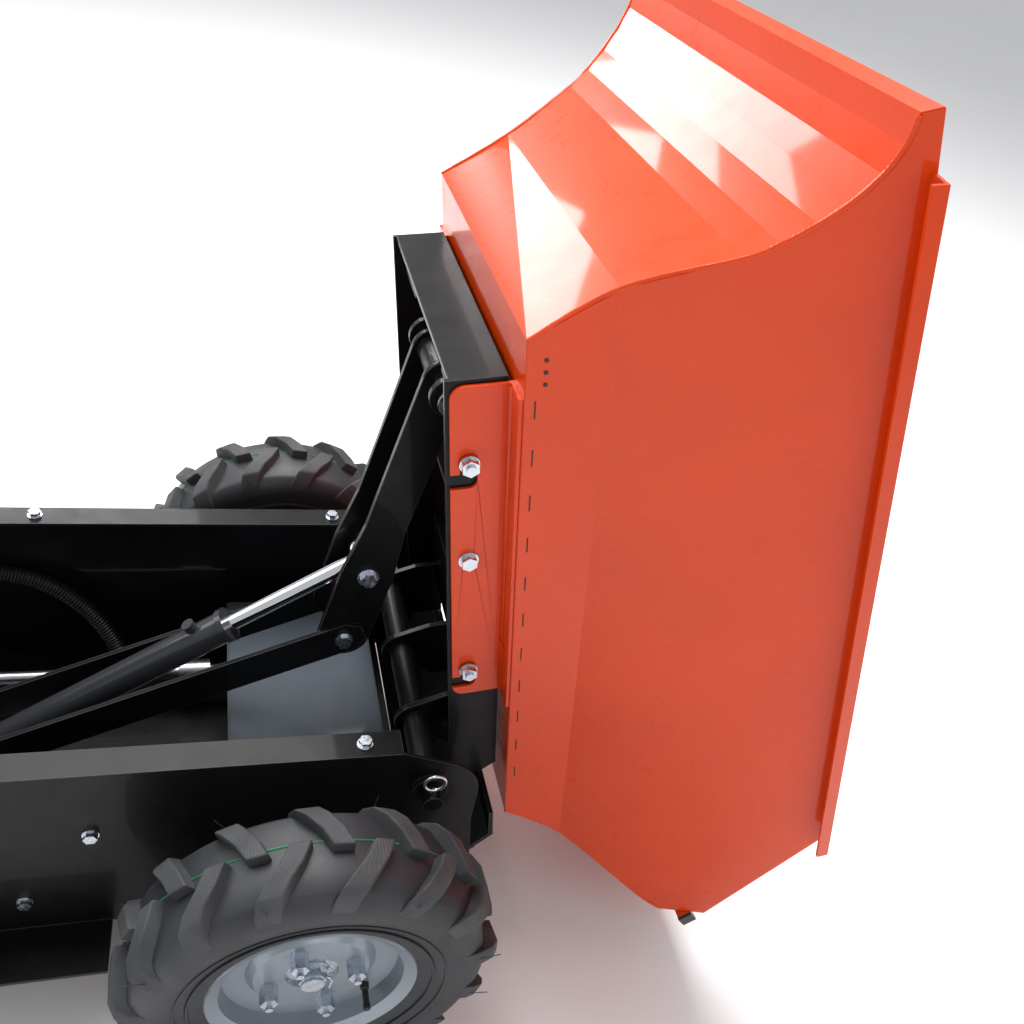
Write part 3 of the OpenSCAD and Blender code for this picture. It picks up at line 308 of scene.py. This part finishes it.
def ring_sweep(bm, points, radius_at, sides, closed=False):
    """A tube along points; radius_at(i) is its radius at each point."""
    rings = []
    count = len(points)
    side = None
    for i, p in enumerate(points):
        ahead = points[min(i + 1, count - 1)]
        behind = points[max(i - 1, 0)]
        if closed:
            ahead = points[(i + 1) % count]
            behind = points[i - 1]
        along = (ahead - behind).normalized()
        if side is None:
            side = along.orthogonal().normalized()
        side = (side - along * side.dot(along)).normalized()
        other = along.cross(side)
        turns = (2 * math.pi * k / sides for k in range(sides))
        rings.append([bm.verts.new(p + radius_at(i) * (side * math.cos(a) + other * math.sin(a)))
                      for a in turns])
    spans = count if closed else count - 1
    for i in range(spans):
        a, b = rings[i], rings[(i + 1) % count]
        for k in range(sides):
            bm.faces.new((a[k], a[(k + 1) % sides], b[(k + 1) % sides], b[k]))
    if not closed:
        bm.faces.new(rings[0][::-1])
        bm.faces.new(rings[-1])


def curve_points(route, step):
    """The smooth curve through the route's points, cut to an even step."""
    fine = []
    for i in range(len(route) - 1):
        a, b = route[max(i - 1, 0)], route[i]
        c, d = route[i + 1], route[min(i + 2, len(route) - 1)]
        for k in range(CURVE_STEPS):
            t = k / CURVE_STEPS
            fine.append(0.5 * (2 * b + (c - a) * t + (2 * a - 5 * b + 4 * c - d) * t * t
                               + (3 * b - a - 3 * c + d) * t ** 3))
    fine.append(route[-1])
    even, left = [fine[0]], step
    for a, b in zip(fine, fine[1:]):
        gap = (b - a).length
        while gap >= left:
            a = a + (b - a).normalized() * left
            even.append(a)
            gap, left = gap - left, step
        left -= gap
    return even


# ---------- front wheels ----------
TYRE_W = 0.112
TREAD_DEPTH = 0.016
CARCASS_TURNS = 160      # sections round the carcass
RING_POINTS = 120        # points round a moulded ring
SHOULDER_HIGH, SHOULDER_WIDE = 0.034, 0.024
SHOULDER_FROM, SHOULDER_SWEEP, SHOULDER_STEPS = -118, 92, 8  # the shoulder's arc, in degrees
CROWN = 0.002            # how far the middle of the tread stands above its sides
LUGS = 15                # on each side of the tread
LUG_ROOT, LUG_SPREAD = 0.066, 0.024  # half a lug's width in radians, and what it gains towards the shoulder
LUG_TAPER = 0.82         # a lug's top against its foot
LUG_HIGH = 0.005         # least height over its foot
# a lug's run: distance from the tread's middle, lean round the wheel in radians, rise against the tread's top
LUG_RUN = [(-0.004, 0.00, 0.0), (0.016, 0.05, 0.0), (0.034, 0.12, -0.001),
           (0.046, 0.17, -0.008), (0.0525, 0.20, -0.022), (0.0548, 0.215, -0.038)]
STRIPE_Y = 0.009
THREAD = 0.0012          # radius of the stripe's thread


class Tyre:
    """A front tyre's place and sizes, read from the frame."""

    def __init__(self, side_name):
        self.side_name = side_name
        self.node = "front_tyre_" + side_name
        self.body = node_body[self.node]
        low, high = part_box(self.node)
        self.centre = (low + high) / 2
        self.outer = (high.x - low.x) / 2
        rim_low, rim_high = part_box("front_rim_" + side_name)
        self.rim = (rim_high.x - rim_low.x) / 2
        self.carcass = self.outer - TREAD_DEPTH
        self.half = TYRE_W / 2

    def at(self, radius, angle, y):
        return self.centre + Vector((radius * math.cos(angle), y, radius * math.sin(angle)))

    def ring(self, radius, y):
        return [self.at(radius, 2 * math.pi * j / RING_POINTS, y) for j in range(RING_POINTS)]

    def piece(self, name, bm, material, smooth=40.0):
        return piece(name + "_" + self.side_name, bm, material, self.body, smooth)


def carcass_profile(tyre):
    """(radius, y) points round the tyre's section, from one bead over the tread to the other."""
    profile = [(tyre.rim - 0.010, -tyre.half + 0.016), (tyre.rim + 0.001, -tyre.half + 0.010)]
    for k in range(SHOULDER_STEPS + 1):
        t = k / SHOULDER_STEPS
        angle = math.radians(SHOULDER_FROM + SHOULDER_SWEEP * t)
        profile.append((tyre.carcass - SHOULDER_HIGH + SHOULDER_HIGH * math.sin(angle + math.pi / 2),
                        -tyre.half + SHOULDER_WIDE + SHOULDER_WIDE * math.sin(angle)))
    profile += [(tyre.carcass, -tyre.half + 0.036), (tyre.carcass + CROWN, 0)]
    return profile + [(r, -y) for r, y in reversed(profile[:-1])]


def tyre_carcass(tyre):
    profile = carcass_profile(tyre)
    bm = bmesh.new()
    rings = [[bm.verts.new(tyre.at(r, 2 * math.pi * j / CARCASS_TURNS, y)) for r, y in profile]
             for j in range(CARCASS_TURNS)]
    for j in range(CARCASS_TURNS):
        a, b = rings[j], rings[(j + 1) % CARCASS_TURNS]
        for k in range(len(profile)):
            m = (k + 1) % len(profile)
            bm.faces.new((a[k], a[m], b[m], b[k]))
    made = tyre.piece("tyre_carcass", bm, SLOT_LOOKS["tyre_rubber"], 50)
    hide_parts(tyre.node)


def sidewall_ribs(tyre):
    """Bead and shoulder ribs: radius, depth under the sidewall's widest, thickness."""
    ribs = ((tyre.rim + 0.016, 0.0035, 0.0016),
            (tyre.carcass - 0.048, 0.0005, 0.0012),
            (tyre.carcass - 0.040, 0.0010, 0.0010))
    bm = bmesh.new()
    for radius, inset, thick in ribs:
        for face in (-1, 1):
            loop = tyre.ring(radius, face * (tyre.half - inset - 0.001))
            ring_sweep(bm, loop, lambda i, t=thick: t, 8, True)
    tyre.piece("tyre_ribs", bm, SLOT_LOOKS["tyre_rubber"])


def lug_starts():
    """(index, face, angle) of every lug; the two sides of the tread are half a step apart."""
    for index in range(LUGS):
        for face in (-1, 1):
            yield index, face, 2 * math.pi * (index + (0.5 if face > 0 else 0)) / LUGS


def lug_block(bm, tyre, face, start):
    """One lug, from near the tread's middle out over the shoulder, leaning forward."""
    top, foot = [], []
    last = len(LUG_RUN) - 1
    for i, (y, lean, drop) in enumerate(LUG_RUN):
        wide = LUG_ROOT + LUG_SPREAD * i / last
        angle = start + lean
        high = tyre.outer - 0.0005 + drop
        low = min(high - LUG_HIGH, tyre.carcass - 0.004 + drop * 0.9)
        foot_y = face * (y - (0.004 if i > 3 else 0))
        top.append([tyre.at(high, angle + s * wide * LUG_TAPER, face * y) for s in (-1, 1)])
        foot.append([tyre.at(low, angle + s * wide, foot_y) for s in (-1, 1)])
    t = [[bm.verts.new(p) for p in pair] for pair in top]
    f = [[bm.verts.new(p) for p in pair] for pair in foot]
    for i in range(last):
        bm.faces.new((t[i][0], t[i][1], t[i + 1][1], t[i + 1][0]))
        bm.faces.new((f[i][0], f[i + 1][0], f[i + 1][1], f[i][1]))
        bm.faces.new((t[i][0], t[i + 1][0], f[i + 1][0], f[i][0]))
        bm.faces.new((t[i][1], f[i][1], f[i + 1][1], t[i + 1][1]))
    bm.faces.new((t[0][0], f[0][0], f[0][1], t[0][1]))
    bm.faces.new((t[-1][0], t[-1][1], f[-1][1], f[-1][0]))


def tread(tyre):
    """The chevron lugs, and a vent hair beside every other one."""
    lugs, hairs = bmesh.new(), bmesh.new()
    for index, face, start in lug_starts():
        lug_block(lugs, tyre, face, start)
        if index % 2 == 0:
            root = tyre.at(tyre.outer - 0.024, start + 0.20, face * 0.0530)
            tip = tyre.at(tyre.outer - 0.003, start + 0.215, face * 0.0545)
            ring_sweep(hairs, [root, (root + tip) / 2, tip], lambda i: 0.0005, 6)
    bevel(tyre.piece("tyre_lugs", lugs, TREAD, 30), 0.0022)
    tyre.piece("tyre_vent_hairs", hairs, SLOT_LOOKS["tyre_rubber"])


def stripe(tyre):
    """The maker's colour thread round the tread."""
    bm = bmesh.new()
    ring_sweep(bm, tyre.ring(tyre.carcass + THREAD, STRIPE_Y), lambda i: THREAD, 6, True)
    tyre.piece("tyre_stripe", bm, STRIPE_GREEN)


for side_name in ("left", "right"):
    made_tyre = Tyre(side_name)
    tyre_carcass(made_tyre)
    sidewall_ribs(made_tyre)
    tread(made_tyre)
    stripe(made_tyre)


# ---------- wheel centre details ----------
PIN_DEPTH = 0.022        # the split pin's place under the hub's end
# the valve stem's steps: height over its foot, radius
STEM = [(0, 0.0055), (0.008, 0.0048), (0.009, 0.0035), (0.024, 0.0035), (0.025, 0.0042), (0.031, 0.0040)]
WELD_IN = 0.021          # the rim weld's place inside the rim's edge
WELD_OUT = 0.017         # and outside the wheel's middle plane


def split_pin(side_name, sign, centre, body):
    """A split pin through the castle nut, its two ends bent apart."""
    hub_low, hub_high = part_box("wheel_hub_" + side_name)
    tip = hub_high.y if sign > 0 else hub_low.y
    seat = Vector((centre.x, tip - sign * PIN_DEPTH, centre.z))
    shank = [(-0.017, 0, 0.004), (0, 0, 0), (0.019, 0, -0.004)]
    bm = bmesh.new()
    ring_sweep(bm, [seat + Vector(p) for p in shank], lambda i: 0.0016, 8)
    for lean in (-1, 1):
        leg = [(0.017, 0, -0.004), (0.021, sign * 0.004, lean * 0.006), (0.017, sign * 0.009, lean * 0.010)]
        ring_sweep(bm, [seat + Vector(p) for p in leg], lambda i: 0.0013, 8)
    piece("split_pin_" + side_name, bm, SLOT_LOOKS["zinc"], body)


def valve_stem(side_name, sign, centre, body):
    foot = centre + Vector((0.062, sign * 0.018, -0.052))
    bm = bmesh.new()
    ring_sweep(bm, [foot + Vector((0, sign, 0)) * high for high, _ in STEM], lambda i: STEM[i][1], 16)
    piece("valve_stem_" + side_name, bm, SLOT_LOOKS["cap_plastic"], body)


def rim_weld(side_name, sign, centre, radius, body):
    """The rippled bead between the rim and its disc."""
    turns = (2 * math.pi * k / 96 for k in range(96))
    loop = [centre + Vector((radius * math.cos(a), sign * WELD_OUT, radius * math.sin(a))) for a in turns]
    bm = bmesh.new()
    ring_sweep(bm, loop, lambda i: 0.0016 + 0.0004 * math.sin(i * 2.4), 8, True)
    piece("rim_weld_" + side_name, bm, SLOT_LOOKS["rim_silver"], body)


for side_name, sign in (("left", 1), ("right", -1)):
    rim_node = "front_rim_" + side_name
    low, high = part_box(rim_node)
    middle = (low + high) / 2
    split_pin(side_name, sign, middle, node_body[rim_node])
    valve_stem(side_name, sign, middle, node_body[rim_node])
    rim_weld(side_name, sign, middle, (high.x - low.x) / 2 - WELD_IN, node_body[rim_node])


# ---------- tub: frame of the tipped tub, its welds, and painted shade in its slits ---
tilt_joint = next(joint for joint in frame["joints"] if joint["name"] == "tub_tilt")
PIVOT = Vector(tilt_joint["pos_m"])
TILT = math.radians(-tilt_joint["range_deg"][0])  # rest shows the tub fully tipped
TUB_BACK, TUB_UP = 0.559, 0.098  # the floor's rear edge behind the pivot, and the floor above it, when level
HALF = 0.201             # half the floor's width
FOLD = 0.077             # height of the fold where the sides start to lean out
FLARE = 0.5              # how far they lean out for each unit of height
# (u, v) outlines of the rear and front walls: u forward from the floor's rear edge, v up from the floor
REAR = [(0.0, 0.0), (-0.041, 0.077), (-0.079, 0.160)]
REAR += [(-0.079 - 0.118 * (k / 6) ** 1.15, 0.160 + 0.088 * math.sin(math.radians(15 * k)))
         for k in range(1, 7)]
FRONT = [(0.669, 0.0), (0.741, 0.077), (0.848, 0.182), (0.871, 0.215)]
BEAD_SUNK = 0.0006       # how far a corner bead's middle lies inside the corner
SLITS, SLIT_FROM, SLIT_PITCH, SLIT_LONG, SLIT_HIGH = 11, 0.060, 0.052, 0.018, 0.010
HOLES, HOLE_FROM, HOLE_PITCH, HOLE_HIGH = 3, 0.020, 0.012, 0.018


def on_tub(u, y, v):
    """A point given in the tub's own frame, in the row frame at rest."""
    x, z = u - TUB_BACK, v + TUB_UP
    return PIVOT + Vector((x * math.cos(TILT) + z * math.sin(TILT), y,
                           -x * math.sin(TILT) + z * math.cos(TILT)))


def half_at(v):
    """Half the tub's width at a height."""
    return HALF + FLARE * max(0, v - FOLD)


def weld(name, path, radius):
    """An orange bead of overlapping ripples along a path on the tub."""
    points = curve_points(path, 0.0016)
    bm = bmesh.new()
    ring_sweep(bm, points,
               lambda i: radius * (1 + 0.22 * abs(math.sin(i * 1.15)) - 0.05 * math.sin(i * 0.37)), 10)
    piece(name, bm, SLOT_LOOKS["tub_orange"], "tub", 60)


def tub_welds(side_name, sign):
    """The beads down the rear and front corners, and along the mount plate's bend."""
    rear = [on_tub(u + BEAD_SUNK, sign * (half_at(v) - BEAD_SUNK), v) for u, v in REAR]
    front = [on_tub(u - BEAD_SUNK, sign * (half_at(v) - BEAD_SUNK), v) for u, v in FRONT]
    mount = [on_tub(0.062 + 0.405 * k / 24, sign * 0.1695, -0.003) for k in range(25)]
    weld("tub_rear_weld_" + side_name, rear, 0.0021)
    weld("tub_front_weld_" + side_name, front, 0.0018)
    weld("mount_weld_" + side_name, mount, 0.0032)


def tub_slit_shade(side_name, sign):
    """Painted shade: black marks for the stitch slits along the side's bend and the small holes near its
    corner.
    """
    bm = bmesh.new()
    for k in range(SLITS):
        u = SLIT_FROM + SLIT_PITCH * k
        ends = [on_tub(end, sign * (HALF + 0.0002), SLIT_HIGH) for end in (u, u + SLIT_LONG)]
        ring_sweep(bm, ends, lambda i: 0.0007, 8)
    for k in range(HOLES):
        spot = on_tub(HOLE_FROM + HOLE_PITCH * k, sign * (HALF + 0.0001), HOLE_HIGH)
        ring_sweep(bm, [spot, spot + Vector((0, sign * 0.0007, 0))], lambda i: 0.0020, 14)
    # the slits and holes are not cut; their dark look is painted shade, in black cap plastic laid on the
    # sheet
    piece("tub_slit_shade_" + side_name, bm, SLOT_LOOKS["cap_plastic"], "tub")


for side_name, sign in (("left", 1), ("right", -1)):
    tub_welds(side_name, sign)
    tub_slit_shade(side_name, sign)


# ---------- hoses ----------
RIB_STEPS = 5            # points along one rib


def ribbed(name, node, route, radius, pitch, depth):
    """A corrugated hose along the route, standing for its plain CAD tube."""
    points = curve_points([Vector(p) for p in route], pitch / RIB_STEPS)
    bm = bmesh.new()
    ring_sweep(bm, points, lambda i: radius - depth * (0.5 + 0.5 * math.cos(2 * math.pi * i / RIB_STEPS)), 24)
    made = piece(name, bm, SLOT_LOOKS["hose_rubber"], node_body[node], 70)
    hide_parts(node)


# middle lines of the two hoses, in metres, as in the CAD: from the gear case to the pump, and from low
# behind the left wheel along the left side to the rear
SUCTION = [(-0.116, -0.095, 0.196), (-0.140, -0.095, 0.196), (-0.220, -0.112, 0.190), (-0.320, -0.130, 0.190),
           (-0.430, -0.130, 0.200), (-0.510, -0.112, 0.262), (-0.556, -0.076, 0.304),
           (-0.590, -0.060, 0.318), (-0.618, -0.060, 0.318)]
CONDUIT = [(-0.226, 0.150, 0.126), (-0.240, 0.172, 0.176), (-0.280, 0.192, 0.230), (-0.340, 0.205, 0.270),
           (-0.420, 0.205, 0.290), (-0.520, 0.205, 0.308), (-0.600, 0.205, 0.318), (-0.760, 0.205, 0.318),
           (-0.985, 0.205, 0.318)]
ribbed("suction_hose_ribbed", "suction_hose", SUCTION, radius=0.0150, pitch=0.0060, depth=0.0026)
ribbed("cable_conduit_ribbed", "cable_conduit", CONDUIT, radius=0.0120, pitch=0.0042, depth=0.0018)

# ---------- softened edges on carried-over nodes ----------
PLATE_NODES = ("side_panel_left", "side_panel_right", "cross_plates", "engine_deck", "tilt_frame",
               "tilt_lever", "lift_arms", "link_bracket", "mount_plate_left", "mount_plate_right",
               "belt_guard", "bar_bridge")
CAST_NODES = ("gear_case", "transmission", "engine_block", "air_cleaner", "hydraulic_pump", "valve_block")
SHEET_NODES = ("tub", "lip_tube")
for name in PLATE_NODES:
    bevel(nodes[name], 0.0007)
for name in CAST_NODES:
    bevel(nodes[name], 0.0022, segments=3)
for name in SHEET_NODES:
    bevel(nodes[name], 0.0008)

# ---------- floor, lights, camera ----------
FLOOR_HALF = 40
bm = bmesh.new()
bmesh.ops.create_grid(bm, x_segments=1, y_segments=1, size=FLOOR_HALF)
floor_mesh = bpy.data.meshes.new("floor")
bm.to_mesh(floor_mesh)
bm.free()
floor = bpy.data.objects.new("floor", floor_mesh)
bpy.context.scene.collection.objects.link(floor)
ground = Look("floor_pale")
ground.ramp(ground.noise(0.6), [(0.3, (0.92, 0.92, 0.92)), (0.7, (0.95, 0.95, 0.95))], "Base Color")
ground.shader.inputs["Roughness"].default_value = 0.9
paint(floor, ground.material)

world = bpy.data.worlds.new("studio")
bpy.context.scene.world = world
world.use_nodes = True
world.node_tree.nodes["Background"].inputs["Color"].default_value = (0.97, 0.98, 1.0, 1)
world.node_tree.nodes["Background"].inputs["Strength"].default_value = 0.55


def soft_light(name, place, target, size, power):
    """A large area light that points at a target."""
    data = bpy.data.lights.new(name, "AREA")
    data.shape = "RECTANGLE"
    data.size, data.size_y = size
    data.energy = power
    lamp = bpy.data.objects.new(name, data)
    lamp.location = place
    lamp.rotation_euler = (Vector(target) - Vector(place)).to_track_quat("-Z", "Y").to_euler()
    bpy.context.scene.collection.objects.link(lamp)


soft_light("overhead", (0.1, 1.7, 4.6), (0.2, 0.6, 0.0), (3.6, 3.0), 300)
soft_light("far_window", (-0.56, 2.1, 1.72), (0.30, 0.0, 1.02), (0.8, 0.7), 20)
soft_light("rear_window", (-2.4, 0.9, 2.3), (0.3, 0.0, 0.8), (1.8, 1.4), 30)
soft_light("near_fill", (0.8, -3.2, 1.8), (0.1, 0.0, 0.4), (2.6, 1.8), 16)

YAW, PITCH, ROLL = math.radians(21.534), math.radians(36.02), math.radians(13.451)
STAND = Vector((-0.105, -0.881, 1.235))  # where the camera stands, in metres
SENSOR, LENS = 36, 33.43                 # in millimetres
SHIFT = (0.0032, 0.0044)
forward = Vector((math.sin(YAW) * math.cos(PITCH), math.cos(YAW) * math.cos(PITCH), -math.sin(PITCH)))
level = Vector((math.cos(YAW), -math.sin(YAW), 0))
upright = level.cross(forward)
right = level * math.cos(ROLL) + upright * math.sin(ROLL)
top = upright * math.cos(ROLL) - level * math.sin(ROLL)
camera = bpy.data.objects.new("camera", bpy.data.cameras.new("camera"))
camera.data.sensor_width = SENSOR
camera.data.lens = LENS
camera.data.shift_x, camera.data.shift_y = SHIFT
camera.data.clip_start = 0.05
camera.matrix_world = Matrix((
    (right.x, top.x, -forward.x, STAND.x),
    (right.y, top.y, -forward.y, STAND.y),
    (right.z, top.z, -forward.z, STAND.z),
    (0, 0, 0, 1),
))
bpy.context.scene.collection.objects.link(camera)
bpy.context.scene.camera = camera
bpy.context.scene.view_settings.view_transform = "Standard"
